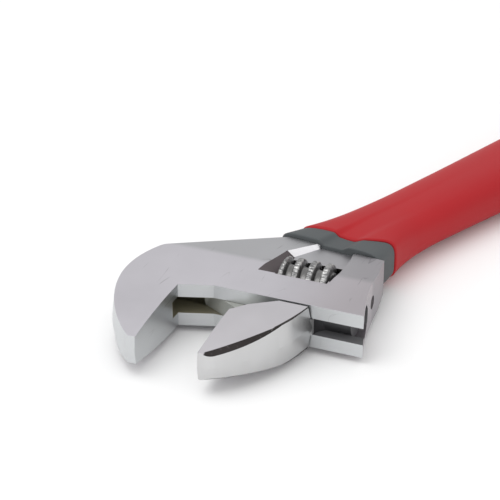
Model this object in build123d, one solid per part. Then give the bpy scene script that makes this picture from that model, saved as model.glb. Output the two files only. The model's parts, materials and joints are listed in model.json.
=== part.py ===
from build123d import *
from math import cos, pi, radians, sin, tan
import os

# Adjustable wrench. X runs along the jaw's slide, opening the jaw; the jaw tips point along -Y
# and the handle leaves towards +Y; Z is the thickness. The origin is the centre of the fixed
# jaw's face, at mid thickness. Plan points are given as (s, f): s along the slide from the
# fixed jaw's face, f towards the jaw tips from the throat corner. Millimetres and degrees.

# ---- overall ----
overall_length = 250.0      # jaw tips to handle end, along the handle
head_angle = 22.5           # handle axis against the direction of the jaws
handle_offset = 10.2        # handle axis from the throat corner, square to the axis
head_reach = 50.0           # fixed jaw's face to the far end of the rail guide
head_thickness = 12.16
draft = 7.0                 # forging draft on the body's outer walls

# ---- jaws ----
jaw_depth = 25.3            # throat corner to the jaw tips
jaw_tip_thickness = 7.7
opening = 17.3              # between the jaws as modelled
opening_closed = 0.1        # faces just clear each other when closed
throat_back = 3.05          # front face of the rail guide, behind the throat corner
throat_run = 8.8            # length of the throat's slanted part
hook_width = 16.9           # fixed jaw's face to its outer wall, at the throat corner
movable_root = 18.7         # gripping face to outer wall, at the jaw's root
plate_clear = 0.12          # jaw plate to rail guide
jaw_draft = 7.0             # on the jaw plate's outer wall
band_radius = 47.2          # inner edge of the chamfer along the jaw's outer edge
band_reach = 28.3           # gripping face to the centre of that edge's curve
band_slope = 30.0           # chamfer's fall, away from the jaw's upper face
band_lean = 0.134           # chamfer's own fall towards the tip, which makes it wider there
band_middle = 11.2          # centre of that edge's curve, behind the throat corner
band_drop = 0.52            # chamfer's inner edge below the flat face, half way to the tip

# ---- rail, slot and rack ----
slot_width = 4.7
rail_radius = 4.3
rail_back = 10.2            # rail axis behind the throat corner
rail_length = 40.6
rail_lead = 12.4            # rail's inner end ahead of the movable jaw's face
bore_spare = 0.9            # blind end of the bore past the rail, with the jaws closed
running_clear = 0.08        # radial, and on each side of the web

# ---- knurl, pin and spring ----
knurl_radius = 7.8
knurl_length = 13.6
knurl_start = 21.3
thread_pitch = 4.0
thread_depth = 2.2
thread_mesh = 1.6           # how far a ridge reaches into the rail
thread_crest = 1.45
thread_base = 2.1
thread_phase = 1.1          # first ridge from the knurl's end, on the rail's side
tooth_backlash = 0.22       # each side of a ridge, in the rack's gaps
tooth_clear = 0.35          # below a ridge, in the rack's gaps
pin_radius = 1.6
pin_clear = 0.06
pin_reach = 8.3             # pin's blind end, past the knurl
pin_head_radius = 1.8
pin_head_length = 5.0
pin_recess = 1.2            # pin's slotted end below the head's end face
driver_slot = 0.8
end_play = 0.45             # knurl to each window wall
counterbore_radius = 3.7
counterbore_depth = 3.2
spring_wire = 0.6
spring_turns = 4
spring_clear = 0.25
spring_end_gap = 0.05

# ---- window and panel ----
window_clear = 0.45         # window wall round the knurl
seat_half = 3.3             # half height of the square wall beside the knurl
scoop_reach = 4.9           # how far the thumb scoop slopes back from the seat
scoop_narrow = 1.7          # how much shorter that slope is at its rear
scoop_front = 0.64          # scoop's front and rear edges, as shares of the window's radius
scoop_rear = 1.08
panel_half = 3.7            # half thickness of the I-beam's web
flank_front = (19.6, -28.1) # foot of the recess's flank towards the hook, at its two ends
flank_rear = (25.2, -36.6)
flank_slope = 45.0          # that flank against the upper face
crease_back = 19.0          # where the ground face ends and the forged neck begins
neck_length = 33.0          # from there to the handle's own thickness

# ---- handle and grip ----
handle_width = 14.5
handle_thickness = 7.4
handle_inset = 22.0         # grip end to steel end, short of the hang hole
hole_radius = 4.0
hole_inset = 12.0           # hang hole from the grip's end
collar_back = 36.7          # collar's front edge behind the throat corner
cover_start = 51.0          # cover's front edge along the handle
cover_wall = 1.2
collar_tilt = 7.0           # collar's front edge against the slide
skin_clear = 0.02           # between grip mouldings, and between grip and steel
panel_end = 52.0            # blind end of the panel, under the collar

half = head_thickness / 2
jaw_centre = jaw_depth / 2
guide_length = 200.0        # longer than any cut needs
turn_s = sin(radians(head_angle))
turn_f = cos(radians(head_angle))
handle_end = overall_length - jaw_depth * turn_f
knurl_root = knurl_radius - thread_depth
knurl_back = rail_back + rail_radius + knurl_radius - thread_mesh
rail_start = opening - rail_lead
bore_start = opening_closed - rail_lead - bore_spare
end_face = head_reach - 4.0           # ground end of the head, at the knurl pin
window_start = knurl_start - end_play
window_end = knurl_start + knurl_length + end_play
bore_radius = rail_radius + running_clear
window_radius = knurl_radius + window_clear


def at(s, f):
    """Plan point from slide distance and distance towards the jaw tips."""
    return (s, jaw_centre - f)


def along(t, off):
    """Plan point from distance along the handle and offset square to it."""
    return at(t * turn_s + off * turn_f, -t * turn_f + off * turn_s)


def polygon(*points):
    return make_face(Polyline(*points, close=True))


def slab(face, low, high):
    """Straight-walled prism over a plan face between two heights."""
    return extrude(Pos(0, 0, low) * face, high - low)


def forged(face, height, angle):
    """Prism about the mid plane whose walls lean in by the draft angle on both sides."""
    upper = extrude(face, height, taper=angle)
    return upper + mirror(upper, Plane.XY)


def bar_x(radius, start, length, back, height=0.0):
    """Round bar along the slide, its axis behind the throat corner."""
    x, y = at(start, -back)
    axis = Plane(origin=(x, y, height), x_dir=(0, 1, 0), z_dir=(1, 0, 0))
    return axis * Cylinder(radius, length, align=(Align.CENTER, Align.CENTER, Align.MIN))


def thickness_envelope():
    """Side profile of body and jaw: thin tips, flat ground head, sloping neck, thin handle."""
    def side(f, z):
        return (0, jaw_centre - f, z)

    neck_f = crease_back + neck_length
    tip_half = jaw_tip_thickness / 2
    handle_half = handle_thickness / 2
    front = TangentArc(side(0, half), side(jaw_depth, tip_half), tangent=(0, -1, 0))
    rest = Polyline(
        side(jaw_depth, tip_half), side(jaw_depth + 3, tip_half), side(jaw_depth + 3, -1),
        side(-handle_end - 30, -1), side(-handle_end - 30, handle_half), side(-neck_f, handle_half),
        side(-crease_back, half), side(0, half),
    )
    upper = extrude(make_face(Curve() + [front, rest]), guide_length, both=True)
    return upper + mirror(upper, Plane.XY)


def hook_blank():
    """Outer shape of the fixed jaw, head and neck, before the throat is cut."""
    nose = Polyline(at(6, jaw_depth), at(-2.2, jaw_depth), at(-3.7, jaw_depth - 1.1))
    hook_mid = at(-hook_width * 0.65, jaw_depth * 0.617)
    side = ThreePointArc(nose @ 1, hook_mid, at(-hook_width, 0.5))
    back = TangentArc(side @ 1, at(2.5 - hook_width, -crease_back + 1.2), tangent=side % 1)
    heel = at(4.0 - hook_width, -crease_back - 0.9)
    round_heel = TangentArc(back @ 1, heel, tangent=back % 1)
    rest = Polyline(
        heel, along(42.4, -0.35), along(52, -0.35), along(52, 24.4),
        at(head_reach - 6.4, -collar_back - 0.6), at(head_reach + 3, -collar_back - 0.6),
        at(head_reach + 3, 6), at(6, 6), at(6, jaw_depth),
    )
    return make_face(Curve() + [nose, side, back, round_heel, rest])


def handle_blank():
    """I-beam handle under the grip, with a round end."""
    low = handle_offset - handle_width / 2
    high = handle_offset + handle_width / 2
    steel_end = handle_end - handle_inset
    shoulder = steel_end - handle_width / 2
    end = ThreePointArc(along(shoulder, high), along(steel_end, handle_offset), along(shoulder, low))
    sides = Polyline(
        along(shoulder, low), along(68, low), along(57, low - 1.2), along(34, low - 1.8),
        along(40, high + 5.8), along(50, high + 5.8), along(57, high + 3.2), along(68, high),
        along(shoulder, high),
    )
    return make_face(Curve() + [end, sides])


def throat_cut():
    """Straight-walled cut that leaves the jaw face, the slanted throat and the guide's front."""
    far = head_reach + 20
    face = polygon(
        at(0, jaw_depth + 10), at(0, 0), at(throat_run, -throat_back), at(far, -throat_back),
        at(far, jaw_depth + 10),
    )
    return slab(face, -half - 5, half + 5)


def end_cut():
    """The ground end of the head, from the guide's front corner back to the collar."""
    top = at(head_reach + 0.2, -throat_back + 1)
    mid = at(head_reach - 3.1, -throat_back - 11.5)
    low = at(head_reach - 4.4, -throat_back - 23.5)
    edge = ThreePointArc(top, mid, low)
    rest = Polyline(
        low, at(head_reach - 6.4, -collar_back - 2), at(head_reach + 20, -collar_back - 2),
        at(head_reach + 20, -throat_back + 1), top,
    )
    return slab(make_face(Curve() + [edge, rest]), -half - 5, half + 5)


def rail_bore():
    """Round bore and the slot through the guide, with the slanted end inside the fixed jaw."""
    bore = bar_x(bore_radius, bore_start, guide_length, rail_back)
    slot = polygon(
        at(0, 3.2), at(bore_start, -6.1), at(bore_start, -rail_back), at(head_reach + 20, -rail_back),
        at(head_reach + 20, 8), at(0, 8),
    )
    return bore + slab(slot, -slot_width / 2, slot_width / 2)


def knurl_window():
    """Round relief about the knurl, open to both faces and into the rail bore."""
    return bar_x(window_radius, window_start, window_end - window_start, knurl_back)


def thumb_scoop():
    """Sloping wall beside the knurl on the upper face, ruled between a front and a rear edge."""
    def wedge(f, shift):
        def side(s, z):
            x, y = at(s, f)
            return (x, y, z)

        wall = window_start + 0.01
        edge = window_start - scoop_reach + shift
        return make_face(Polyline(
            side(wall, seat_half), side(edge, half), side(edge, half + 3), side(wall, half + 3), close=True,
        ))

    front = -knurl_back + window_radius * scoop_front
    rear = -knurl_back - window_radius * scoop_rear
    return loft([wedge(front, 0.0), wedge(rear, scoop_narrow)], ruled=True)


def panel_pocket():
    """Recess between the I-beam's flanges on the upper face, from the knurl back under the grip."""
    face = polygon(
        at(window_start + 0.2, -knurl_back), at(window_start - 0.9, -27.2), at(*flank_front),
        at(*flank_rear), along(panel_end, 8.8), along(panel_end, 18.9), along(46, 19.2),
        at(window_end + 0.6, -31.5), at(window_end + 0.8, -27.0),
        at(window_end + 0.9, -22.3), at(window_end + 0.4, -knurl_back + 4.5),
        at(window_end - 3, -knurl_back),
    )
    return slab(face, panel_half, half + 3)


def panel_flank():
    """Sloping wall of the recess on the hook's side: a slanted prism that leans out as it rises."""
    low = Vector(*at(*flank_front))
    high = Vector(*at(*flank_rear))
    outward = (high - low).rotate(Axis.Z, 90).normalized()
    inward = outward * -2.5
    face = polygon(low, high, high + inward, low + inward)
    rise = half + 1 - panel_half
    direction = outward * (1 / tan(radians(flank_slope))) + Vector(0, 0, 1)
    return extrude(Pos(0, 0, panel_half) * face, rise * direction.length, dir=direction)


def pin_holes():
    """Blind seat for the pin's tip, clear hole and the wider hole for its head."""
    pin_start = knurl_start - pin_reach
    seat = bar_x(pin_radius + pin_clear, pin_start - pin_clear, guide_length, knurl_back)
    head_start = end_face - pin_recess - pin_head_length - end_play / 2
    return seat + bar_x(pin_head_radius + pin_clear, head_start, guide_length, knurl_back)


def wrench_body():
    head = forged(hook_blank(), half + 4, draft) & thickness_envelope()
    head = (head & ahead_of_collar()) - end_cut() - throat_cut()
    body = head + forged(handle_blank(), handle_thickness / 2, draft)
    body -= rail_bore()
    body -= knurl_window()
    for cut in (thumb_scoop(), panel_pocket(), panel_flank()):
        body -= cut
        body -= mirror(cut, Plane.XY)
    body -= pin_holes()
    return body


def jaw_plate_outline():
    """Outer edge of the jaw plate at mid thickness, reaching past the gripping face for its cut."""
    g = opening
    root = g + movable_root
    shoulder = at(g + 4.4, jaw_depth - 0.6)
    tip = Line(at(g - 1.5, 7.0), at(g - 1.5, jaw_depth + 0.1))
    nose = ThreePointArc(tip @ 1, at(g + 2.3, jaw_depth + 0.55), shoulder)
    outer = ThreePointArc(shoulder, at(root - 6.5, jaw_depth * 0.62), at(root - 1.5, jaw_depth * 0.19))
    rest = Polyline(
        outer @ 1, at(root + 0.2, -throat_back + plate_clear), at(g + 9.8, -throat_back + plate_clear),
        at(g + 3.0, 1.9), at(g - 1.5, 7.0),
    )
    return make_face(Curve() + [tip, nose, outer, rest])


def ahead_of_face():
    """Everything on the fixed jaw's side of the movable jaw's gripping face."""
    far = jaw_depth * 2
    face = polygon(at(opening - far, -far), at(opening, -far), at(opening, far), at(opening - far, far))
    return slab(face, -half - 5, half + 5)


def edge_cone():
    """Flat cone that trims the plate's outer upper edge; it leans, so the trim fades at the root."""
    x, y = at(opening - band_reach, -band_middle)
    height = half + band_lean * (band_middle + jaw_depth * 0.48) - band_drop
    spread = 1 / tan(radians(band_slope))
    below = 16.0
    above = 4.0
    cone = Cone(band_radius + below * spread, band_radius - above * spread, below + above,
                align=(Align.CENTER, Align.CENTER, Align.MIN))
    plane = Plane(origin=(x, y, height), x_dir=(1, 0, 0), z_dir=(0, -band_lean, 1))
    return plane * (Pos(0, 0, -below) * cone)


def movable_jaw():
    half_web = slot_width / 2 - running_clear
    plate = forged(jaw_plate_outline(), half + 1, jaw_draft) & thickness_envelope()
    plate = (plate & edge_cone() & mirror(edge_cone(), Plane.XY)) - ahead_of_face()
    g = opening
    root = g + movable_root
    rail_top = -rail_back + (rail_radius ** 2 - half_web ** 2) ** 0.5
    fillet_arc = ThreePointArc(
        at(root + 0.4, -throat_back - 0.4), at(root + 1.3, rail_top + 1.2), at(root + 4.2, rail_top),
    )
    web_edge = Polyline(
        fillet_arc @ 1, at(root + 4.2, -rail_back), at(rail_start + 0.3, -rail_back),
        at(rail_start + 0.3, rail_top + 0.2), at(g, 0), at(g, 5.6), at(root - 4, 5.6),
        at(root + 0.4, -throat_back - 0.4),
    )
    web = slab(make_face(Curve() + [fillet_arc, web_edge]), -half_web, half_web)
    rail = bar_x(rail_radius, rail_start, rail_length, rail_back)
    jaw = plate + web + rail
    for gap in rack_gaps():
        jaw -= gap
    return jaw


def ridge_places():
    """Slide positions of the knurl's ridges on the side that faces the rail."""
    first = knurl_start + thread_phase
    count_back = int((first - rail_start) / thread_pitch) + 1
    count_on = int((rail_start + rail_length - first) / thread_pitch) + 1
    return [first + n * thread_pitch for n in range(-count_back, count_on + 1)]


def rack_gaps():
    """Straight gaps across the rail's rear, leaning with the thread and as wide as its ridges need."""
    reach = knurl_radius + tooth_clear
    floor = -knurl_back + reach
    mouth = -rail_back - rail_radius - 1
    flank = (thread_base - thread_crest) / 2 / (knurl_radius - knurl_root)
    half_floor = thread_crest / 2 + tooth_backlash - flank * tooth_clear
    half_mouth = half_floor + flank * (floor - mouth)
    lean = thread_pitch / (2 * pi * (knurl_radius + knurl_root) / 2)
    gaps = []
    for s in ridge_places():
        face = polygon(
            at(s - half_floor, floor), at(s + half_floor, floor), at(s + half_mouth, mouth),
            at(s - half_mouth, mouth),
        )
        upper = extrude(face, rail_radius + 2, dir=(-lean, 0, 1))
        gap = upper + extrude(face, rail_radius + 2, dir=(lean, 0, -1))
        gaps.append(gap)
    return gaps


def knurl():
    """Worm with a right-hand trapezoidal thread, bored for the pin and counterbored for the spring."""
    spare_turns = 2
    sink = 0.6
    helix = Helix(thread_pitch, thread_pitch * (spare_turns * 2 + knurl_length // thread_pitch), knurl_root)
    frame = Plane(origin=helix @ 0, x_dir=(1, 0, 0), z_dir=helix % 0)
    depth = knurl_radius - knurl_root
    ridge = frame * polygon(
        (-sink, -thread_base / 2), (0, -thread_base / 2), (depth, -thread_crest / 2),
        (depth, thread_crest / 2), (0, thread_base / 2), (-sink, thread_base / 2),
    )
    thread = sweep(ridge, path=helix, is_frenet=True)
    span = (Align.CENTER, Align.CENTER, Align.MIN)
    half_turn_shift = thread_pitch / 2
    lift = thread_pitch * spare_turns + half_turn_shift - thread_phase
    blank = Pos(0, 0, lift) * Cylinder(knurl_radius + 1, knurl_length, align=span)
    core = Pos(0, 0, lift) * Cylinder(knurl_root, knurl_length, align=span)
    worm = core + (thread & blank)
    worm -= Pos(0, 0, lift) * Cylinder(counterbore_radius, counterbore_depth, align=span)
    worm -= Pos(0, 0, lift) * Cylinder(pin_radius + pin_clear, knurl_length, align=span)
    x, y = at(knurl_start, -knurl_back)
    place = Plane(origin=(x, y, 0), x_dir=(0, 1, 0), z_dir=(1, 0, 0))
    return place * (Pos(0, 0, -lift) * worm)


def knurl_pin():
    """Screw that the knurl turns on, with a slotted head."""
    end = end_face - pin_recess
    pin_start = knurl_start - pin_reach
    shank = bar_x(pin_radius, pin_start, end - pin_start, knurl_back)
    head = bar_x(pin_head_radius, end - pin_head_length, pin_head_length, knurl_back)
    x, y = at(end, -knurl_back)
    slot = Pos(x, y, 0) * Box(2.0, driver_slot, pin_head_radius * 3)
    return shank + head - slot


def knurl_spring():
    """Compression spring between the window wall and the knurl's counterbore."""
    height = end_play + counterbore_depth - spring_wire - 2 * spring_end_gap
    radius = counterbore_radius - spring_clear - spring_wire / 2
    helix = Helix(height / spring_turns, height, radius)
    section = Plane(origin=helix @ 0, z_dir=helix % 0) * Circle(spring_wire / 2)
    wire = sweep(section, path=helix, is_frenet=True)
    x, y = at(window_start + spring_wire / 2 + spring_end_gap, -knurl_back)
    return Plane(origin=(x, y, 0), x_dir=(0, 1, 0), z_dir=(1, 0, 0)) * wire


def grip_shape(shrink, reach):
    """Skinned grip: wide flat collar, waist, palm swell and a tapering end."""
    end = handle_end - reach
    flat = head_thickness
    stations = [
        (36.0, 12.2, 30.2, flat, 2.4), (50.0, 12.7, 26.9, flat, 2.8), (57.0, 11.9, 23.8, 12.6, 3.8),
        (65.0, 10.9, 21.4, 13.0, 4.8), (78.0, handle_offset, 20.6, 13.2, 5.8),
        (105.0, handle_offset, 21.8, 13.8, 6.2), (150.0, handle_offset, 25.6, 15.0, 6.8),
        (end - 20, handle_offset, 25.4, 14.8, 6.8), (end - 5, handle_offset, 22.0, 13.2, 6.0),
        (end, handle_offset, 16.6, 10.0, 4.4),
    ]
    sections = []
    for t, offset, width, thickness, corner in stations:
        x, y = along(t, offset)
        plane = Plane(origin=(x, y, 0), x_dir=(turn_f, -turn_s, 0), z_dir=(turn_s, turn_f, 0))
        outline = RectangleRounded(width - 2 * shrink, thickness - 2 * shrink, corner - shrink)
        sections.append(plane * outline)
    return loft(sections)


def handle_slab(start, end):
    """Everything between two distances along the handle."""
    face = polygon(along(start, -90), along(end, -90), along(end, 90), along(start, 90))
    return slab(face, -30, 30)


def hang_hole():
    x, y = along(handle_end - hole_inset, handle_offset)
    return Pos(x, y, 0) * Cylinder(hole_radius, 40)


def ahead_of_collar():
    """Everything in front of the collar's slightly tilted front edge."""
    far = 90.0
    rise = far * tan(radians(collar_tilt))
    middle = head_reach * 0.58
    face = polygon(
        at(middle - far, -collar_back - rise), at(middle + far, -collar_back + rise),
        at(middle + far, far), at(middle - far, far),
    )
    return slab(face, -30, 30)


def grip_core(body):
    """Inner moulding: a flush collar in front, then stepped down under the cover."""
    collar = grip_shape(0, 0) & handle_slab(20, cover_start - skin_clear)
    inside = grip_shape(cover_wall + skin_clear, cover_wall + skin_clear)
    core = collar + (inside & handle_slab(cover_start - 1, handle_end + 20))
    return core - ahead_of_collar() - body - hang_hole()


def grip_cover():
    """Outer moulding over the core, from the collar to the end of the handle."""
    skin = grip_shape(0, 0) - grip_shape(cover_wall, cover_wall)
    return (skin & handle_slab(cover_start, handle_end + 20)) - hang_hole()


if __name__ == "__main__":
    os.makedirs("parts", exist_ok=True)
    body = wrench_body()
    nodes = {
        "wrench_body": body,
        "grip_core": grip_core(body),
        "grip_cover": grip_cover(),
        "movable_jaw": movable_jaw(),
        "knurl": knurl(),
        "knurl_pin": knurl_pin(),
        "knurl_spring": knurl_spring(),
    }
    for name, solid in nodes.items():
        print(name, solid.volume, len(solid.solids()), solid.is_valid)
        export_step(solid, f"parts/{name}.step")
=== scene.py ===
import json
import bmesh
import bpy
import numpy as np
from math import cos, pi, radians, sin, tan
from mathutils import Matrix, Vector

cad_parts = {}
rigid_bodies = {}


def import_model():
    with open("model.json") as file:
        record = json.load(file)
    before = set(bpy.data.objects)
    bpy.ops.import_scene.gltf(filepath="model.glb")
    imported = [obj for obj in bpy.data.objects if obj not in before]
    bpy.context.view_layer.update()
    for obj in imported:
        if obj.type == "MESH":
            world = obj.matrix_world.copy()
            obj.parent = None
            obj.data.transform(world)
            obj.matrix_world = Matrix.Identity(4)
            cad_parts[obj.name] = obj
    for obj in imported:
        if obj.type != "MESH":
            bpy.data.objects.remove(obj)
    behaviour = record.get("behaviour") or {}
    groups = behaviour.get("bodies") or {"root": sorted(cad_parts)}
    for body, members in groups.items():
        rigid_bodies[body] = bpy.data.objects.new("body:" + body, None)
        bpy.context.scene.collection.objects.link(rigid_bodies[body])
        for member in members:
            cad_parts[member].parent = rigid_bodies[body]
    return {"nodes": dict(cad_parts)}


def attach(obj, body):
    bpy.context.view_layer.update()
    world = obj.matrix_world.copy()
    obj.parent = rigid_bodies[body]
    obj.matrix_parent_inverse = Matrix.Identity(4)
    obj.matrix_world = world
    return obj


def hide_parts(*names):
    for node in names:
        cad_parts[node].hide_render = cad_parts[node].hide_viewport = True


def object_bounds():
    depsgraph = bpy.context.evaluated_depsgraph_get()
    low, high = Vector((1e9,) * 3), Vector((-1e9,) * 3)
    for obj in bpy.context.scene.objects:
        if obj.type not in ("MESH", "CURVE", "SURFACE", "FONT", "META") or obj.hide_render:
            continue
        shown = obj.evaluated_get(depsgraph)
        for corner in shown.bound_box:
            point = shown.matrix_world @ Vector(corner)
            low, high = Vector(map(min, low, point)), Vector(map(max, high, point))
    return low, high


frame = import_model()
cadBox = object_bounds()
print("frame loaded:", ", ".join(sorted(frame["nodes"])))

mm = 0.001                 # the wrench's sizes are written in mm
throatY = 12.65            # throat corner on Y; the jaw tips lie towards -Y, the handle towards +Y
railY = throatY + 10.2     # middle of the round rail and of its bore
knurlY = throatY + 20.7    # middle of the knurl, of its pin and of its window
jawFaceX = 17.3            # gripping face of the movable jaw; the fixed jaw's is at 0
slideAngle = 22.5          # handle axis against Y, in degrees


def node(tree, kind, **sets):
    made = tree.nodes.new(kind)
    for name, value in sets.items():
        setattr(made, name, value)
    return made


def link(tree, source, target):
    tree.links.new(source, target)


def feed(tree, value, socket):
    # a number or a colour is set on the socket, and an output is linked to it
    if isinstance(value, tuple):
        socket.default_value = (*value, 1.0)
    elif isinstance(value, (int, float)):
        socket.default_value = value
    else:
        link(tree, value, socket)


def calc(tree, operation, *values):
    made = node(tree, "ShaderNodeMath", operation=operation)
    for value, socket in zip(values, made.inputs):
        feed(tree, value, socket)
    return made.outputs[0]


def mixColour(tree, share, low, high):
    made = node(tree, "ShaderNodeMix", data_type="RGBA")
    for value, socket in zip((share, low, high), (made.inputs[0], made.inputs[6], made.inputs[7])):
        feed(tree, value, socket)
    return made.outputs[2]


def smoothStep(tree, value, low, high):
    made = node(tree, "ShaderNodeMapRange", interpolation_type="SMOOTHSTEP")
    for part, name in ((value, "Value"), (low, "From Min"), (high, "From Max")):
        feed(tree, part, made.inputs[name])
    return made.outputs["Result"]


def fade(tree, value, span):
    # 0 before a span given in mm and 1 after it, with a soft step between
    return smoothStep(tree, value, span[0] * mm, span[1] * mm)


def about(tree, value, middle, swing):
    # a value about 0.5 becomes middle + (value - 0.5) * swing
    return calc(tree, "ADD", calc(tree, "MULTIPLY", calc(tree, "SUBTRACT", value, 0.5), swing), middle)


def between(tree, value, low, high):
    # 1 where the value lies between two bounds, and 0 elsewhere
    past = calc(tree, "GREATER_THAN", value, low)
    before = calc(tree, "LESS_THAN", value, high)
    return calc(tree, "MULTIPLY", past, before)


def distance(tree, first, second):
    # root of the sum of two squares
    squares = [calc(tree, "MULTIPLY", part, part) for part in (first, second)]
    return calc(tree, "SQRT", calc(tree, "ADD", *squares))


def objectPlace(tree):
    return node(tree, "ShaderNodeTexCoord").outputs["Object"]


def objectAxes(tree):
    # X, Y and Z of the shaded point, in metres
    parts = node(tree, "ShaderNodeSeparateXYZ")
    link(tree, objectPlace(tree), parts.inputs[0])
    return tuple(parts.outputs)


def noise(tree, place, scale, detail):
    made = node(tree, "ShaderNodeTexNoise")
    link(tree, place, made.inputs["Vector"])
    made.inputs["Detail"].default_value = detail
    feed(tree, scale, made.inputs["Scale"])
    return made.outputs["Fac"]


def newGroup(name, inputs, outputs):
    tree = bpy.data.node_groups.new(name, "ShaderNodeTree")
    for label, value in inputs.items():
        socket = tree.interface.new_socket(label, in_out="INPUT", socket_type="NodeSocketFloat")
        socket.default_value = value
    for label in outputs:
        tree.interface.new_socket(label, in_out="OUTPUT", socket_type="NodeSocketFloat")
    return tree, node(tree, "NodeGroupInput").outputs, node(tree, "NodeGroupOutput").inputs


def makeMottleGroup():
    # broad soft patches plus a fine grain, both as values about 0.5
    tree, ins, outs = newGroup("mottle", {"Patch Scale": 60.0, "Grain Scale": 2500.0}, ("Patches", "Grain"))
    link(tree, noise(tree, objectPlace(tree), ins["Patch Scale"], 3.0), outs["Patches"])
    link(tree, noise(tree, objectPlace(tree), ins["Grain Scale"], 2.0), outs["Grain"])
    return tree


scratchSizes = {
    "turns": (0.5, 2.1),     # directions of the two sets of lines, in radians
    "stretch": 0.16,         # scale along a line as a share of the scale across it
    "patchScale": 140.0,
    "patchFull": 0.72,       # value of the patches from which the lines show in full
}


def makeScratchGroup():
    # thin random lines: two stretched noises, each cut to a narrow band about its middle value,
    # which show only in scattered patches
    tree, ins, outs = newGroup("scratches", {"Scale": 90.0, "Width": 0.006, "Sparseness": 0.56}, ("Lines",))
    bands = []
    for turn in scratchSizes["turns"]:
        mapping = node(tree, "ShaderNodeMapping")
        mapping.inputs["Rotation"].default_value = (0, 0, turn)
        mapping.inputs["Scale"].default_value = (1.0, scratchSizes["stretch"], 1.0)
        link(tree, objectPlace(tree), mapping.inputs["Vector"])
        stretched = noise(tree, mapping.outputs[0], ins["Scale"], 1.0)
        away = calc(tree, "ABSOLUTE", calc(tree, "SUBTRACT", stretched, 0.5))
        bands.append(calc(tree, "LESS_THAN", away, ins["Width"]))
    spread = noise(tree, objectPlace(tree), scratchSizes["patchScale"], 1.0)
    patches = smoothStep(tree, spread, ins["Sparseness"], scratchSizes["patchFull"])
    link(tree, calc(tree, "MULTIPLY", calc(tree, "MAXIMUM", *bands), patches), outs["Lines"])
    return tree


def makeBoreGroup():
    # 1 inside a round bore along X, given by its axis and radius in metres, and 0 outside
    labels = {"Axis Y": 0.0, "Radius": 0.004, "Low X": 0.0, "High X": 0.05}
    tree, ins, outs = newGroup("insideBore", labels, ("Mask",))
    x, y, z = objectAxes(tree)
    fromAxis = distance(tree, calc(tree, "SUBTRACT", y, ins["Axis Y"]), z)
    inside = calc(tree, "LESS_THAN", fromAxis, ins["Radius"])
    along = between(tree, x, ins["Low X"], ins["High X"])
    link(tree, calc(tree, "MULTIPLY", inside, along), outs["Mask"])
    return tree


def makeSlotGroup():
    # 1 inside a flat slot about the mid plane: within half its height, and between two Y and two X
    labels = {"Half Height": 0.0024, "Low Y": 0.0, "High Y": 0.02, "Low X": 0.0, "High X": 0.05}
    tree, ins, outs = newGroup("insideSlot", labels, ("Mask",))
    x, y, z = objectAxes(tree)
    mask = calc(tree, "LESS_THAN", calc(tree, "ABSOLUTE", z), ins["Half Height"])
    for letter, value in (("X", x), ("Y", y)):
        mask = calc(tree, "MULTIPLY", mask, between(tree, value, ins["Low " + letter], ins["High " + letter]))
    link(tree, mask, outs["Mask"])
    return tree


groups = {
    "mottle": makeMottleGroup(),
    "scratches": makeScratchGroup(),
    "insideBore": makeBoreGroup(),
    "insideSlot": makeSlotGroup(),
}


def placeGroup(tree, name, **values):
    # an underscore in a value's name stands for the space in the socket's
    made = node(tree, "ShaderNodeGroup", node_tree=groups[name])
    for label, value in values.items():
        made.inputs[label.replace("_", " ")].default_value = value
    return made.outputs


def insideBore(tree, axisY, radius, spanX):
    return placeGroup(tree, "insideBore", Axis_Y=axisY * mm, Radius=radius * mm,
                      Low_X=spanX[0] * mm, High_X=spanX[1] * mm)["Mask"]


def insideSlot(tree, halfHeight, spanX, spanY):
    return placeGroup(tree, "insideSlot", Half_Height=halfHeight * mm, Low_X=spanX[0] * mm,
                      High_X=spanX[1] * mm, Low_Y=spanY[0] * mm, High_Y=spanY[1] * mm)["Mask"]


def newMaterial(name):
    made = bpy.data.materials.new(name)
    made.use_nodes = True
    tree = made.node_tree
    return made, tree, tree.nodes["Principled BSDF"].inputs


def bump(tree, height, strength, depth):
    made = node(tree, "ShaderNodeBump")
    made.inputs["Strength"].default_value = strength
    made.inputs["Distance"].default_value = depth * mm
    link(tree, height, made.inputs["Height"])
    return made.outputs["Normal"]


def brighten(tree, colour, share):
    made = node(tree, "ShaderNodeHueSaturation")
    feed(tree, colour, made.inputs["Color"])
    link(tree, share, made.inputs["Value"])
    return made.outputs[0]


steel = {
    "ground": (0.545, 0.530, 0.565),
    "forged": (0.430, 0.430, 0.445),
    "wall": (0.585, 0.598, 0.608),        # walls cut square to the ground faces, painted lighter: painted light
    "litWallForged": (0.450, 0.455, 0.462),
    "endTint": (0.430, 0.402, 0.425),     # towards the head's end the ground face turns darker and warmer
    "endForged": (0.352, 0.338, 0.358),
    "slotShadeInner": (0.215, 0.198, 0.135),   # painted shade inside the fixed jaw, olive
    "slotShadeOuter": (0.125, 0.125, 0.130),
    "shade": (0.230, 0.215, 0.215),       # inside of the knurl's window
    "scratch": (0.16, 0.15, 0.16),
    "scratchShare": 0.55,
    "groundRoughness": 0.36,
    "forgedRoughness": 0.46,
    "creaseY": throatY + 20.4,            # where the ground face turns into the forged neck
    "creaseBlend": 1.6,
    # the body's insides, each a little past its walls
    "railRadius": 4.46, "railX": (-14, 50),
    "windowRadius": 8.3, "windowX": (20.84, 35.36),
    "slotHalf": 2.38, "slotX": (-14.5, 50), "slotY": (throatY - 3.4, throatY + 15),
    "mouthX": (42, 45),                   # the bore's painted shade fades out near its mouth
    "shadeTurnX": (4, 20),                     # the painted shade turns from olive to grey
    "endX": (22, 46),                     # where the tint comes in
    "endY": throatY + 3.2,                # only behind the guide's front wall
}


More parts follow.
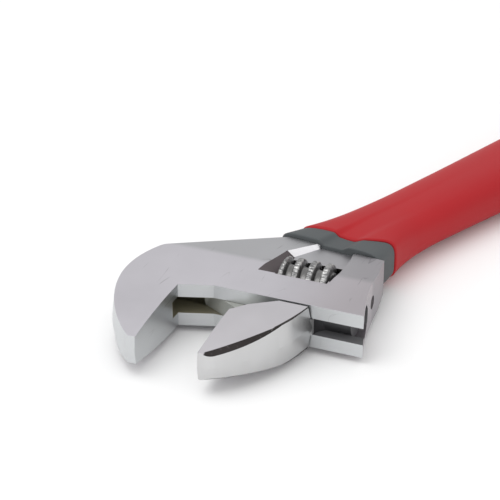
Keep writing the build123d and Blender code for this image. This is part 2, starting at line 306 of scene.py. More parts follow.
def makeBodySteel(name, ground, forged):
    # ground steel, forged on the neck, darker towards the head's end, scratched, with painted shade inside
    # the slot, the bore and the knurl's window
    made, tree, skin = newMaterial(name)
    mottle = placeGroup(tree, "mottle", Patch_Scale=55.0, Grain_Scale=2600.0)
    lines = placeGroup(tree, "scratches", Scale=110.0, Width=0.0026, Sparseness=0.55)["Lines"]
    x, y, _ = objectAxes(tree)
    crease, blend = steel["creaseY"], steel["creaseBlend"]
    neck = fade(tree, y, (crease - blend, crease + blend))
    rail = insideBore(tree, railY, steel["railRadius"], steel["railX"])
    window = insideBore(tree, knurlY, steel["windowRadius"], steel["windowX"])
    slot = insideSlot(tree, steel["slotHalf"], steel["slotX"], steel["slotY"])
    bore = calc(tree, "MULTIPLY", rail, calc(tree, "SUBTRACT", 1.0, fade(tree, x, steel["mouthX"])))
    # painted shade in the slot and in the rail's bore, where the steel is also made not metallic
    paintedShadeMask = calc(tree, "MAXIMUM", bore, slot)
    paintedShade = mixColour(tree, fade(tree, x, steel["shadeTurnX"]), steel["slotShadeInner"], steel["slotShadeOuter"])
    behindFront = calc(tree, "GREATER_THAN", y, steel["endY"] * mm)
    nearEnd = calc(tree, "MULTIPLY", fade(tree, x, steel["endX"]), behindFront)
    clean = mixColour(tree, neck, mixColour(tree, nearEnd, ground, steel["endTint"]),
                      mixColour(tree, nearEnd, forged, steel["endForged"]))
    patched = brighten(tree, clean, about(tree, mottle["Patches"], 1.0, 0.22))
    shaded = mixColour(tree, window, patched, steel["shade"])
    darkened = mixColour(tree, paintedShadeMask, shaded, paintedShade)
    scored = calc(tree, "MULTIPLY", lines, steel["scratchShare"])
    link(tree, mixColour(tree, scored, darkened, steel["scratch"]), skin["Base Color"])
    link(tree, calc(tree, "SUBTRACT", 1.0, paintedShadeMask), skin["Metallic"])
    rougher = calc(tree, "MULTIPLY", neck, steel["forgedRoughness"] - steel["groundRoughness"])
    rough = calc(tree, "ADD", rougher, steel["groundRoughness"])
    link(tree, about(tree, mottle["Patches"], rough, 0.18), skin["Roughness"])
    coarser = calc(tree, "ADD", calc(tree, "MULTIPLY", neck, 2.0), 0.5)
    link(tree, bump(tree, calc(tree, "MULTIPLY", mottle["Grain"], coarser), 0.25, 0.04), skin["Normal"])
    return made


jawSteel = {
    "top": (0.535, 0.520, 0.545),
    # the walls' lighter colour is painted light
    "wall": (0.575, 0.575, 0.578),
    "reflectionLine": (0.045, 0.040, 0.038),        # painted dark reflection along the upper and lower outer edges
    "lineZ": 5.72,                        # it lies past this height
    "arcX": jawFaceX - 28.3, "arcY": throatY + 11.2, "arcRadius": 47.08,    # and outside this arc
    "bandReflectionLow": (0.010, 0.008, 0.007),     # painted dark reflection on the chamfer
    "bandReflectionHigh": (0.034, 0.027, 0.027),
    # small painted glints on the chamfer's painted reflection
    "bandGlint": (0.14, 0.13, 0.13),
    "bandX": (18.7, 19.1),                # the painted reflection stops just short of the tip
    "wornLow": (0.36, 0.37, 0.34),        # rail near the jaw
    "wornHigh": (0.50, 0.51, 0.48),
    "railShadeLow": (0.034, 0.034, 0.037),    # painted shade on the rail's outer part
    "railShadeHigh": (0.062, 0.062, 0.066),
    "railShadeX": (18, 24),
}


def makeJawSteel(name, colour):
    # polished steel, with a thin painted dark reflection along the upper and lower outer edges, where the
    # chamfer runs out
    made, tree, skin = newMaterial(name)
    mottle = placeGroup(tree, "mottle", Patch_Scale=70.0, Grain_Scale=2600.0)
    patched = brighten(tree, colour, about(tree, mottle["Patches"], 1.0, 0.2))
    x, y, z = objectAxes(tree)
    fromCentre = distance(tree, calc(tree, "SUBTRACT", x, jawSteel["arcX"] * mm),
                          calc(tree, "SUBTRACT", y, jawSteel["arcY"] * mm))
    outside = calc(tree, "GREATER_THAN", fromCentre, jawSteel["arcRadius"] * mm)
    high = calc(tree, "GREATER_THAN", calc(tree, "ABSOLUTE", z), jawSteel["lineZ"] * mm)
    reflectionLine = calc(tree, "MULTIPLY", outside, high)
    link(tree, mixColour(tree, reflectionLine, patched, jawSteel["reflectionLine"]), skin["Base Color"])
    skin["Metallic"].default_value = 1.0
    link(tree, about(tree, mottle["Patches"], 0.34, 0.2), skin["Roughness"])
    link(tree, bump(tree, mottle["Grain"], 0.15, 0.03), skin["Normal"])
    return made


def makeBandReflectionSteel():
    # chamfer: a painted dark reflection on rough steel, with small painted glints where the grain stands up
    made, tree, skin = newMaterial("bandReflectionSteel")
    mottle = placeGroup(tree, "mottle", Patch_Scale=260.0, Grain_Scale=1500.0)
    glints = smoothStep(tree, mottle["Grain"], 0.64, 0.76)
    base = mixColour(tree, mottle["Patches"], jawSteel["bandReflectionLow"], jawSteel["bandReflectionHigh"])
    withGlints = mixColour(tree, glints, base, jawSteel["bandGlint"])
    # the painted dark reflection, cut off just short of the tip
    paintedReflection = fade(tree, objectAxes(tree)[0], jawSteel["bandX"])
    link(tree, mixColour(tree, paintedReflection, jawSteel["top"], withGlints), skin["Base Color"])
    link(tree, calc(tree, "SUBTRACT", 1.0, calc(tree, "MULTIPLY", paintedReflection, 0.5)), skin["Metallic"])
    skin["Roughness"].default_value = 0.55
    link(tree, bump(tree, mottle["Grain"], 0.8, 0.08), skin["Normal"])
    return made


def makeRailSteel():
    # worn bright near the jaw, and dark further out with painted shade
    made, tree, skin = newMaterial("railSteel")
    mottle = placeGroup(tree, "mottle", Patch_Scale=150.0, Grain_Scale=2200.0)
    worn = mixColour(tree, mottle["Patches"], jawSteel["wornLow"], jawSteel["wornHigh"])
    # painted shade on the part of the rail that runs inside the bore
    railShade = mixColour(tree, mottle["Patches"], jawSteel["railShadeLow"], jawSteel["railShadeHigh"])
    outer = fade(tree, objectAxes(tree)[0], jawSteel["railShadeX"])
    link(tree, mixColour(tree, outer, worn, railShade), skin["Base Color"])
    skin["Metallic"].default_value = 0.5
    skin["Roughness"].default_value = 0.42
    link(tree, bump(tree, mottle["Grain"], 0.3, 0.04), skin["Normal"])
    return made


knurlSteel = {
    "root": (0.190, 0.187, 0.185),
    "crestLow": (0.170, 0.170, 0.172),
    "crestHigh": (0.500, 0.495, 0.490),
    "crestRadius": (5.9, 7.6),
}


def makeKnurlSteel():
    # dark between the ridges, and bright with dark speckles on their worn crests
    made, tree, skin = newMaterial("knurlSteel")
    mottle = placeGroup(tree, "mottle", Patch_Scale=900.0, Grain_Scale=2400.0)
    _, y, z = objectAxes(tree)
    crest = fade(tree, distance(tree, calc(tree, "SUBTRACT", y, knurlY * mm), z), knurlSteel["crestRadius"])
    speckles = smoothStep(tree, mottle["Patches"], 0.35, 0.70)
    worn = mixColour(tree, speckles, knurlSteel["crestLow"], knurlSteel["crestHigh"])
    link(tree, mixColour(tree, crest, knurlSteel["root"], worn), skin["Base Color"])
    skin["Metallic"].default_value = 1.0
    link(tree, calc(tree, "ADD", calc(tree, "MULTIPLY", mottle["Patches"], 0.2), 0.24), skin["Roughness"])
    link(tree, bump(tree, mottle["Grain"], 0.5, 0.06), skin["Normal"])
    return made


def makePlainSteel(name, colour, roughness):
    # one colour that drifts down to 0.7 of itself
    made, tree, skin = newMaterial(name)
    mottle = placeGroup(tree, "mottle", Patch_Scale=300.0, Grain_Scale=3000.0)
    low = tuple(channel * 0.7 for channel in colour)
    link(tree, mixColour(tree, mottle["Patches"], low, colour), skin["Base Color"])
    skin["Metallic"].default_value = 1.0
    skin["Roughness"].default_value = roughness
    link(tree, bump(tree, mottle["Grain"], 0.2, 0.03), skin["Normal"])
    return made


def makeFlankHighlight():
    # painted highlight on the recess's flank: lighter and more matt than what is round it
    made, tree, skin = newMaterial("flankHighlightSteel")
    mottle = placeGroup(tree, "mottle", Patch_Scale=500.0, Grain_Scale=3000.0)
    link(tree, mixColour(tree, mottle["Patches"], (0.80, 0.79, 0.82), (0.95, 0.94, 0.96)), skin["Base Color"])
    skin["Metallic"].default_value = 0.25
    skin["Roughness"].default_value = 0.45
    link(tree, bump(tree, mottle["Grain"], 0.2, 0.03), skin["Normal"])
    return made


def makeMoulding(name, low, high, roughness, grain):
    # moulded plastic or rubber: slow colour drift, a fine stipple and uneven gloss
    made, tree, skin = newMaterial(name)
    mottle = placeGroup(tree, "mottle", Patch_Scale=38.0, Grain_Scale=1700.0)
    link(tree, mixColour(tree, mottle["Patches"], low, high), skin["Base Color"])
    link(tree, about(tree, mottle["Patches"], roughness, 0.16), skin["Roughness"])
    skin["Specular IOR Level"].default_value = 0.22
    link(tree, bump(tree, mottle["Grain"], grain, 0.05), skin["Normal"])
    return made


materials = {
    "body": makeBodySteel("bodySteel", steel["ground"], steel["forged"]),
    # lighter copy of the body steel for the walls: painted light
    "wall": makeBodySteel("litWallSteel", steel["wall"], steel["litWallForged"]),
    "jaw": makeJawSteel("jawSteel", jawSteel["top"]),
    "litJawWall": makeJawSteel("litJawWallSteel", jawSteel["wall"]),
    "band": makeBandReflectionSteel(),
    "rail": makeRailSteel(),
    "knurl": makeKnurlSteel(),
    "pin": makePlainSteel("pinSteel", (0.42, 0.38, 0.36), 0.38),
    "spring": makePlainSteel("springSteel", (0.30, 0.30, 0.31), 0.3),
    # the scoop's dark colour is painted shade
    "scoopShade": makePlainSteel("scoopShadeSteel", (0.150, 0.130, 0.135), 0.5),
    # painted highlight on the recess's flank
    "flankHighlight": makeFlankHighlight(),
    "core": makeMoulding("coreMoulding", (0.070, 0.077, 0.080), (0.098, 0.107, 0.111), 0.55, 0.3),
    "cover": makeMoulding("coverMoulding", (0.350, 0.007, 0.011), (0.420, 0.011, 0.016), 0.5, 0.12),
}
print("materials ready:", len(materials))


softening = {
    "merge": 0.000004,      # in metres
    "sliver": 0.000002,
    "flatAngle": 0.8,       # degrees; facets that turn less than this are joined
    "sharpAngle": 14,       # degrees; edges that turn more than this are bevelled
    "segments": 3,
    "flatWeight": 60,       # how strongly large faces hold their normals
}


def softenedCopy(nodeName, pieceName, width, edgeShare):
    # loose triangles are merged, flat facets joined, and each sharp edge gets a share of the
    # full bevel width
    mesh = frame["nodes"][nodeName].data.copy()
    mesh.name = pieceName
    shape = bmesh.new()
    shape.from_mesh(mesh)
    bmesh.ops.remove_doubles(shape, verts=shape.verts, dist=softening["merge"])
    bmesh.ops.dissolve_degenerate(shape, edges=shape.edges, dist=softening["sliver"])
    flat = radians(softening["flatAngle"])
    bmesh.ops.dissolve_limit(shape, angle_limit=flat, verts=shape.verts, edges=shape.edges)
    layer = shape.edges.layers.float.new("bevel_weight_edge")
    for edge in shape.edges:
        if len(edge.link_faces) == 2 and edge.calc_face_angle() > radians(softening["sharpAngle"]):
            edge[layer] = edgeShare(edge)
    shape.to_mesh(mesh)
    shape.free()
    mesh.materials.clear()
    piece = bpy.data.objects.new(pieceName, mesh)
    bpy.context.scene.collection.objects.link(piece)
    mesh.shade_smooth()
    bevel = piece.modifiers.new("softEdges", "BEVEL")
    bevel.limit_method = "WEIGHT"
    bevel.width = width
    bevel.segments = softening["segments"]
    bevel.use_clamp_overlap = True
    bevel.miter_outer = "MITER_SHARP"
    weighted = piece.modifiers.new("flatFaces", "WEIGHTED_NORMAL")
    weighted.keep_sharp = True
    weighted.weight = softening["flatWeight"]
    return piece


def paintFaces(piece, finishes, finishOf):
    # every face gets the material that finishOf names for it
    for finish in finishes:
        piece.data.materials.append(materials[finish])
    for face in piece.data.polygons:
        face.material_index = finishes.index(finishOf(face))


wallRise = 0.5              # a face whose normal rises less than this is a wall

bodyEdges = {
    "full": 1.3 * mm,       # bevel on the hook's outer edges and on the head's end
    "fine": 0.15,           # share of it on every other edge
    "slotZ": 2.6 * mm,      # edges nearer the mid plane than this belong to the slot
    "hookX": -0.6 * mm,     # the hook's outer wall lies behind this
    "endX": 44.5 * mm,      # and the head's end past this
}


def bodyEdgeShare(edge):
    # outer edges of the hook and of the head's end are well rounded; the rest keep a fine break
    middle = (edge.verts[0].co + edge.verts[1].co) / 2
    sides = [face.normal for face in edge.link_faces]
    flat = max(abs(normal.z) for normal in sides)
    wall = min(sides, key=lambda normal: abs(normal.z))
    if flat < 0.8 or abs(middle.z) < bodyEdges["slotZ"]:
        return bodyEdges["fine"]
    behindJaw = middle.x < bodyEdges["hookX"] and wall.x < 0.3
    atEnd = middle.x > bodyEdges["endX"] and wall.x > 0.6
    return 1.0 if behindJaw or atEnd else bodyEdges["fine"]


recess = {
    "fromX": 12 * mm, "toX": 27 * mm,
    "flankX": 20.5 * mm,    # past this its flank carries the painted highlight
}


def bodyFinish(face):
    # the recess's scoop faces straight along X, and its flank is turned towards -Y
    normal, middle = face.normal, face.center
    leaning = 0.3 < normal.x < 0.8 and 0.5 < abs(normal.z) < 0.96
    # the flank takes the painted highlight and the scoop the painted shade
    if leaning and recess["fromX"] < middle.x < recess["toX"]:
        return "flankHighlight" if normal.y < -0.3 and middle.x > recess["flankX"] else "scoopShade"
    # walls take the lighter copy of the steel, which is painted light
    return "wall" if abs(normal.z) < wallRise else "body"


wrench = softenedCopy("wrench_body", "wrench_body_soft", bodyEdges["full"], bodyEdgeShare)
paintFaces(wrench, ("body", "scoopShade", "flankHighlight", "wall"), bodyFinish)
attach(wrench, "wrench")
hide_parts("wrench_body")
print("wrench body:", len(wrench.data.polygons), "faces before its bevel")

jawEdges = {
    "full": 0.5 * mm,
    "fine": 0.35,                   # share of it on most edges
    "band": 0.12,                   # and beside the chamfer
    "bandSlope": (0.76, 0.95),      # how far the chamfer's normal rises
    "bandZ": 3.2 * mm,              # it lies past this height
    "railY": (throatY + 3.4) * mm,  # and the web and rail past this
}


def onBand(normal):
    low, high = jawEdges["bandSlope"]
    return low < abs(normal.z) < high


def jawEdgeShare(edge):
    besideBand = any(onBand(face.normal) for face in edge.link_faces)
    return jawEdges["band"] if besideBand else jawEdges["fine"]


def jawFinish(face):
    if face.center.y > jawEdges["railY"]:
        return "rail"
    if onBand(face.normal) and abs(face.center.z) > jawEdges["bandZ"]:
        return "band"
    # walls take the lighter copy of the jaw steel, which is painted light
    return "litJawWall" if abs(face.normal.z) < wallRise else "jaw"


jaw = softenedCopy("movable_jaw", "movable_jaw_soft", jawEdges["full"], jawEdgeShare)
paintFaces(jaw, ("jaw", "band", "rail", "litJawWall"), jawFinish)
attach(jaw, "jaw")
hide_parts("movable_jaw")
print("movable jaw:", len(jaw.data.polygons), "faces before its bevel")


gridWeld = {
    "merge": 0.000003,      # in metres
    "sliver": 0.000001,
}


def gridPiece(name, points, material):
    # quads between the rows of a (rows, columns, 3) array in mm; each row is a ring that closes on itself
    rows, columns = points.shape[:2]
    row, column = np.meshgrid(np.arange(rows - 1), np.arange(columns), indexing="ij")
    here = row * columns + column
    beside = row * columns + (column + 1) % columns
    faces = np.stack([here, beside, beside + columns, here + columns], axis=-1).reshape(-1, 4)
    mesh = bpy.data.meshes.new(name)
    mesh.from_pydata(points.reshape(-1, 3) * mm, [], faces)
    mesh.update()
    shape = bmesh.new()
    shape.from_mesh(mesh)
    bmesh.ops.remove_doubles(shape, verts=shape.verts, dist=gridWeld["merge"])
    bmesh.ops.dissolve_degenerate(shape, edges=shape.edges, dist=gridWeld["sliver"])
    bmesh.ops.recalc_face_normals(shape, faces=shape.faces)
    shape.to_mesh(mesh)
    shape.free()
    mesh.shade_smooth()
    piece = bpy.data.objects.new(name, mesh)
    bpy.context.scene.collection.objects.link(piece)
    mesh.materials.append(material)
    return piece


knurlSizes = {
    "start": 21.3,              # near end face on X
    "length": 13.6,
    "crest": 7.8,
    "root": 5.6,
    "pitch": 4.0,
    "phase": 1.1,               # where a ridge meets the rail's side, from the near end face
    "crestWidth": 1.45,
    "baseWidth": 2.1,
    "fillet": (0.5, 0.12),      # reach of the ridge's foot on the root, outer and inner part
    "round": 0.16,              # rounding of the crest's corners
    "bore": 1.68,
    "counterbore": 3.7,
    "counterboreDepth": 3.2,
    "boreBreak": 0.3,
    "counterboreBreak": 0.2,
    "endBreak": 0.25,
    "farFace": 4.4,             # middle radius of the far end face
    "nearFace": 4.8,            # and of the near one
    "serrations": 44,
    "serrationDepth": 0.2,
    "samples": 6,               # points round the axis for each serration
}


def knurlSurface():
    # radius over (turn, helix offset): root circle, sloping flanks and a serrated crest, the profile
    # carried along the helix x = offset + pitch * turn / 2 pi and cut off at both end planes
    k = knurlSizes
    slope = (k["baseWidth"] - k["crestWidth"]) / 2
    base, crest = k["baseWidth"] / 2, k["crestWidth"] / 2
    wide, narrow = k["fillet"]
    side = np.array([base + wide, base + narrow, base, base - slope * 0.5, crest + slope * 0.12,
                     crest - k["round"], crest * 0.4])
    sideShare = np.array([0.0, 0.02, 0.12, 0.5, 0.92, 1.0, 1.0])
    ridge = np.concatenate([[-k["pitch"] / 2], -side, side[::-1]])
    ridgeShare = np.concatenate([[0.0], sideShare, sideShare[::-1]])
    turns = np.arange(-5, 5)    # enough ridges to pass both ends at every turn
    offsets = (ridge[None, :] + turns[:, None] * k["pitch"]).ravel()
    shares = np.tile(ridgeShare, len(turns))
    angle = np.linspace(0, 2 * pi, k["serrations"] * k["samples"] + 1)
    # the rail's side is -Y, half a turn from where the angle starts
    drift = k["pitch"] * (angle - pi) / (2 * pi) + k["phase"]
    low, high = -drift[:, None], k["length"] - drift[:, None]
    cut = np.clip(offsets[None, :], low, high)
    share = np.interp(cut, offsets, shares)
    x = cut + drift[:, None]
    serration = k["serrationDepth"] * (0.5 - 0.5 * np.cos(angle * k["serrations"]))[:, None]
    onCrest = np.clip(share * 4 - 3, 0, 1)
    nearEnd = np.minimum(x, k["length"] - x)
    broken = k["endBreak"] * np.clip(1 - nearEnd / k["endBreak"], 0, 1) ** 2
    radius = k["root"] + (k["crest"] - k["root"]) * share - serration * onCrest - broken
    # down the far end face, through the bore and the counterbore, back to the near end face
    inner = np.array([(k["length"], k["farFace"]), (k["length"], k["bore"] + k["boreBreak"]),
                      (k["length"] - k["boreBreak"], k["bore"]), (k["counterboreDepth"], k["bore"]),
                      (k["counterboreDepth"], k["counterbore"]), (k["counterboreBreak"], k["counterbore"]),
                      (0.0, k["counterbore"] + k["counterboreBreak"]), (0.0, k["nearFace"])])
    size = (len(angle), len(inner))
    x = np.concatenate([x, np.broadcast_to(inner[:, 0], size)], axis=1)
    radius = np.concatenate([radius, np.broadcast_to(inner[:, 1], size)], axis=1)
    y = knurlY + radius * np.cos(angle[:, None])
    return np.stack([x + k["start"], y, radius * np.sin(angle[:, None])], axis=-1)


knurl = gridPiece("knurl_serrated", knurlSurface(), materials["knurl"])
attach(knurl, "knurl")
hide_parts("knurl")
print("knurl:", len(knurl.data.polygons), "faces")


gripSizes = {
    # distance along the handle, middle's offset, width, thickness, squareness
    "stations": [(36, 11.6, 31.4, 12.1, 7.0), (50, 12.7, 26.9, 12.2, 5.5), (57, 11.9, 24.0, 12.5, 4.0),
                 (66, 10.8, 21.4, 12.9, 3.2), (78, 10.3, 20.7, 13.1, 2.8), (105, 10.2, 21.8, 13.8, 2.8),
                 (150, 10.2, 25.6, 14.9, 2.8), (205, 10.2, 25.4, 14.7, 2.8), (227, 10.2, 21.8, 13.0, 2.9)],
    "middle": 10.2,             # offset of the handle's middle line where the grip ends
    "end": 226.5,
    "columns": 200,
    # recess pressed into both faces: depth along the handle, and where it starts and ends across it
    "dip": [(40, 1.3), (48, 1.2), (54, 0.55), (62, 0.25), (80, 0.12), (104, 0.0), (230, 0.0)],
    "dipAcross": (8.2, 10.2, 14.8, 17.6),
    # cover's front edge: offset across the handle and distance along it
    "edge": [(-3, 46.9), (0, 47.4), (2.5, 48.4), (5.5, 49.6), (8.5, 50.4), (10.4, 50.6), (12.9, 50.8),
             (14.9, 51.3), (17.2, 52.5), (19.3, 53.8), (21.5, 55.4), (23.5, 56.9), (25, 57.9), (27, 58.4)],
    "edgeOffsetsAt": 52.0,      # each column's offset for that edge is taken here
    "wall": 1.2,
    "proud": 0.3,               # how far the cover's front stands out from the collar
    "lip": 0.7,                 # length and depth of the cover's rounded front
    "lipDepth": 0.55,
    "endRound": 4.0,            # length and depth of its rounded end
    "endDepth": 3.4,
    "endWall": 2.0,
    "collarRound": 0.35,
    "collarGap": 0.06,          # between the collar's front and the steel shoulder
    "collarOffsetsAt": 45.0,
    "step": (0.45, 0.08),       # the core steps in under the cover between these distances before its edge
    "stepDepth": 0.7,
    "coreInside": 0.03,         # between the core's skin and the cover's inside
    "coreEndWall": 2.3,
    "holeAt": 214.63,
    "holeRadius": 4.0,
    "holeFlare": 0.9,
    "holeFlareZ": 6.45,         # where the hole's wall starts to flare
}

collar = {
    # its front edge is a straight line in the part's frame
    "tilt": 7.0,                # degrees against X; it nears the throat as X grows
    "throughX": 29.0,           # a point on it
    "throughY": 36.7,           # that point's distance from the throat on Y
}


def smoothAlong(at, table, column, reach=5.0, samples=11):
    # straight lines between the rows of a table, averaged over the reach to each side
    rows = np.array(table, float)
    shifts = np.linspace(-reach, reach, samples)
    return np.mean([np.interp(at + shift, rows[:, 0], rows[:, column]) for shift in shifts], axis=0)


def columnTurns():
    # turn of each column of the grip's grids, as one row
    return np.linspace(0, 2 * pi, gripSizes["columns"], endpoint=False)[None, :]


def sectionPoint(t, turn, shrink):
    # point of the grip's skin: a superellipse of the width, thickness and squareness found at t,
    # with the recess pressed into both faces
    g = gripSizes
    middle = smoothAlong(t, g["stations"], 1)
    halfWidth = smoothAlong(t, g["stations"], 2) / 2 - shrink
    halfThick = smoothAlong(t, g["stations"], 3) / 2 - shrink
    square = smoothAlong(t, g["stations"], 4)
    reach = (np.abs(np.cos(turn)) ** square + np.abs(np.sin(turn)) ** square) ** (-1 / square)
    across = middle + halfWidth * np.cos(turn) * reach
    height = halfThick * np.sin(turn) * reach
    first, second, third, fourth = g["dipAcross"]
    rising = np.clip((across - first) / (second - first), 0, 1)
    falling = np.clip((fourth - across) / (fourth - third), 0, 1)
    band = rising * falling
    band = band * band * (3 - 2 * band)
    pressed = smoothAlong(t, g["dip"], 1, 3.0) * band * np.abs(np.sin(turn) * reach)
    return across, height - np.sign(height) * pressed


def rowPoint(t, across, height):
    # handle frame to the part's frame, in mm
    s, c = sin(radians(slideAngle)), cos(radians(slideAngle))
    return np.stack([t * s + across * c, throatY + t * c - across * s, height], axis=-1)


def skinAt(t, turn, shrink):
    return rowPoint(t, *sectionPoint(t, turn, shrink))


def pointRow(t, across, turn):
    # a whole row at one point of the mid plane, which closes an end
    return rowPoint(np.full_like(turn, t), np.full_like(turn, across), np.zeros_like(turn))


def towards(start, stop, shares):
    # rows between two rows, at the given shares of the way
    return start + (stop - start) * np.array(shares)[:, None, None]


def edgeAt(t, turn):
    # cover's front edge for each column, from its offset at t, averaged over 0.8 mm to each side
    across, _ = sectionPoint(np.full_like(turn, t), turn, 0.0)
    return smoothAlong(across, gripSizes["edge"], 1, 0.8, 7)


def collarFront(across):
    # where the collar's tilted front edge crosses a given offset
    k = tan(radians(collar["tilt"]))
    s, c = sin(radians(slideAngle)), cos(radians(slideAngle))
    return (collar["throughY"] + collar["throughX"] * k + across * (s - c * k)) / (c + k * s)


def coverSurface():
    g = gripSizes
    turn = columnTurns()
    front = edgeAt(g["edgeOffsetsAt"], turn)
    # rounded lip, then the length of the grip, then the rounded end: distances along the handle,
    # and how far each row lies inside the skin
    lip = np.linspace(0, pi / 2, 5)[:, None]
    lipT = front + g["lip"] * (1 - np.cos(lip))
    lipShrink = g["lipDepth"] * (1 - np.sin(lip)) - g["proud"] * np.sin(lip)
    run = (np.linspace(0, 1, 150)[1:] ** 1.15)[:, None]     # rows lie closer near the front
    stop = g["end"] - g["endRound"]
    runT = front + g["lip"] + (stop - front - g["lip"]) * run
    runShrink = -g["proud"] * (1 - run) ** 12
    tail = np.linspace(0, pi / 2, 9)[1:, None]
    tailT = np.broadcast_to(stop + g["endRound"] * np.sin(tail), (len(tail), g["columns"]))
    tailShrink = g["endDepth"] * (1 - np.cos(tail))
    outerT = np.concatenate([lipT, runT, tailT])
    outer = skinAt(outerT, turn, np.concatenate([lipShrink, runShrink, tailShrink]))
    cap = towards(outer[-1:], pointRow(g["end"], g["middle"], turn), (0.35, 0.7, 1.0))
    # back along the inside to the front edge
    innerEnd = g["end"] - g["endWall"]
    innerT = np.linspace(0, 1, 60)[::-1][:, None] * (innerEnd - front) + front
    inner = skinAt(innerT, turn, g["wall"])
    innerCap = towards(pointRow(innerEnd, g["middle"], turn), inner[:1], (0.0, 0.5))
    return np.concatenate([inner[-1:], outer, cap, innerCap, inner])


def coreSurface():
    # collar out to the front edge, stepped in under the cover and closed at both ends
    g = gripSizes
    turn = columnTurns()
    across, _ = sectionPoint(np.full_like(turn, g["collarOffsetsAt"]), turn, 0.0)
    front = collarFront(across) + g["collarGap"]
    back = edgeAt(g["edgeOffsetsAt"], turn)
    stepFrom, stepTo = g["step"]
    small = g["collarRound"]
    edge = np.linspace(0, pi / 2, 4)[:, None]
    edgeT = front + small * (1 - np.cos(edge))
    edgeShrink = small * (1 - np.sin(edge))
    run = np.linspace(0, 1, 26)[1:, None]
    runT = front + small + (back - stepFrom - front - small) * run
    runShrink = np.zeros_like(run)
    step = np.linspace(0, pi / 2, 4)[1:, None]
    stepT = back - stepFrom + small * np.sin(step)
    stepShrink = small * (1 - np.cos(step))
    under = g["wall"] + g["coreInside"]
    underT = np.repeat(back - stepTo, 2, axis=0)
    underShrink = np.array([[g["stepDepth"]], [under]])
    stop = g["end"] - g["coreEndWall"]
    inside = np.linspace(0, 1, 40)[1:, None]
    insideT = back + (stop - back) * inside
    insideShrink = np.full_like(inside, under)
    outerT = np.concatenate([edgeT, runT, stepT, underT, insideT])
    outerShrink = np.concatenate([edgeShrink, runShrink, stepShrink, underShrink, insideShrink])
    outer = skinAt(outerT, turn, outerShrink)
    # front face: in to a point on the tilted front plane
    inward = 12.0
    frontMiddle = pointRow(collarFront(inward) + g["collarGap"], inward, turn)
    frontCap = towards(frontMiddle, outer[:1], (0.0, 0.5, 0.9))
    endFace = towards(outer[-1:], pointRow(stop, g["middle"], turn), (0.5, 1.0))
    return np.concatenate([frontCap, outer, endFace])


def holeCutter():
    # lathe about the hang hole's axis: a straight wall that flares in a quarter circle near each face
    g = gripSizes
    bend = np.linspace(0, pi / 2, 7)
    high = g["holeFlareZ"] + g["holeFlare"] * np.sin(bend)
    wide = g["holeRadius"] + g["holeFlare"] * (1 - np.cos(bend))
    past = 12.0     # well past both faces
    heights = np.concatenate([[-past], -high[::-1], high, [past]])
    radii = np.concatenate([[wide[-1] + 0.4], wide[::-1], wide, [wide[-1] + 0.4]])[:, None]
    turn = np.linspace(0, 2 * pi, 64, endpoint=False)[None, :]
    centre = rowPoint(np.array(g["holeAt"]), np.array(g["middle"]), np.array(0.0))
    rises = np.broadcast_to(heights[:, None], (len(heights), turn.size))
    ring = np.stack([centre[0] + radii * np.cos(turn), centre[1] + radii * np.sin(turn), rises], axis=-1)
    poles = np.broadcast_to(centre, (1, turn.size, 3))
    return np.concatenate([poles - [0, 0, past], ring, poles + [0, 0, past]])


def cutHole(piece):
    cutter = gridPiece("holeCutter", holeCutter(), materials["core"])
    cut = piece.modifiers.new("hangHole", "BOOLEAN")
    cut.operation = "DIFFERENCE"
    cut.object = cutter
    cut.solver = "EXACT"
    graph = bpy.context.evaluated_depsgraph_get()
    mesh = bpy.data.meshes.new_from_object(piece.evaluated_get(graph))
    piece.modifiers.clear()
    piece.data = mesh
    bpy.data.objects.remove(cutter)


core = gridPiece("grip_core_moulded", coreSurface(), materials["core"])
cutHole(core)
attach(core, "wrench")
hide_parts("grip_core")

cover = gridPiece("grip_cover_moulded", coverSurface(), materials["cover"])
cutHole(cover)
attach(cover, "wrench")
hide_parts("grip_cover")
print("grip:", len(core.data.polygons) + len(cover.data.polygons), "faces")

for nodeName, key in (("knurl_pin", "pin"), ("knurl_spring", "spring")):
    target = frame["nodes"][nodeName]
    target.data.materials.clear()
    target.data.materials.append(materials[key])


view = {
    "place": (0.16841, -0.33261, 0.21831),    # in metres
    "turn": 23.213,      # degrees to the right of straight ahead
    "tilt": 27.804,      # degrees above the wrench's plane
    "roll": -0.169,
    "lens": 122.4,
    "sensor": 36.0,
}


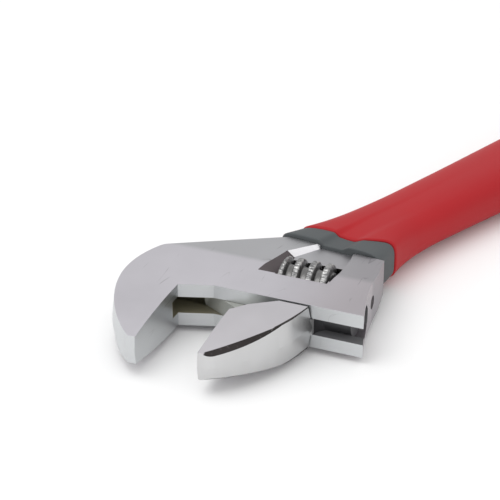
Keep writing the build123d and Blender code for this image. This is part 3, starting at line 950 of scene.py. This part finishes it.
def makeCamera():
    turn, tilt, roll = (radians(view[key]) for key in ("turn", "tilt", "roll"))
    back = Vector((sin(turn) * cos(tilt), -cos(turn) * cos(tilt), sin(tilt)))
    right = Vector((cos(turn), sin(turn), 0))
    up = back.cross(right)
    across = cos(roll) * right + sin(roll) * up
    upright = -sin(roll) * right + cos(roll) * up
    lens = bpy.data.cameras.new("camera")
    lens.lens = view["lens"]
    lens.sensor_width = view["sensor"]
    lens.clip_start = 0.01
    camera = bpy.data.objects.new("camera", lens)
    bpy.context.scene.collection.objects.link(camera)
    columns = (across, upright, back, Vector(view["place"]))
    camera.matrix_world = Matrix([[column[row] for column in columns] for row in range(3)] + [[0, 0, 0, 1]])
    bpy.context.scene.camera = camera


def softbox(name, location, target, size, power):
    lamp = bpy.data.lights.new(name, "AREA")
    lamp.shape = "RECTANGLE"
    lamp.size, lamp.size_y = size
    lamp.energy = power
    made = bpy.data.objects.new(name, lamp)
    made.location = location
    made.rotation_euler = (Vector(target) - Vector(location)).to_track_quat("-Z", "Y").to_euler()
    bpy.context.scene.collection.objects.link(made)


studio = {
    "floorSide": 6.0,        # metres from the middle to each edge
    "floorGap": 0.0001,      # metres below the wrench
    "floorGrey": 0.93,
    "skyStrength": 0.92,
}


def makeFloor():
    side = studio["floorSide"]
    low = cadBox[0].z - studio["floorGap"]
    mesh = bpy.data.meshes.new("floor")
    corners = [(-side, -side, low), (side, -side, low), (side, side, low), (-side, side, low)]
    mesh.from_pydata(corners, [], [(0, 1, 2, 3)])
    floor = bpy.data.objects.new("floor", mesh)
    bpy.context.scene.collection.objects.link(floor)
    made, _, surface = newMaterial("paleFloor")
    surface["Base Color"].default_value = (*[studio["floorGrey"]] * 3, 1)
    surface["Roughness"].default_value = 0.8
    mesh.materials.append(made)


def makeWorld():
    world = bpy.data.worlds.new("studio")
    world.use_nodes = True
    bpy.context.scene.world = world
    background = world.node_tree.nodes["Background"]
    background.inputs["Color"].default_value = (1.0, 1.0, 1.0, 1.0)
    background.inputs["Strength"].default_value = studio["skyStrength"]


makeCamera()
makeFloor()
makeWorld()
softbox("keyAbove", (-0.25, -0.15, 0.75), (0.03, 0.05, 0), (0.6, 0.6), 2.0)
softbox("frontFill", (0.45, -0.75, 0.30), (0.02, 0.02, 0), (0.7, 0.4), 0.8)
bpy.context.scene.view_settings.view_transform = "Standard"
print("camera, floor and light set")
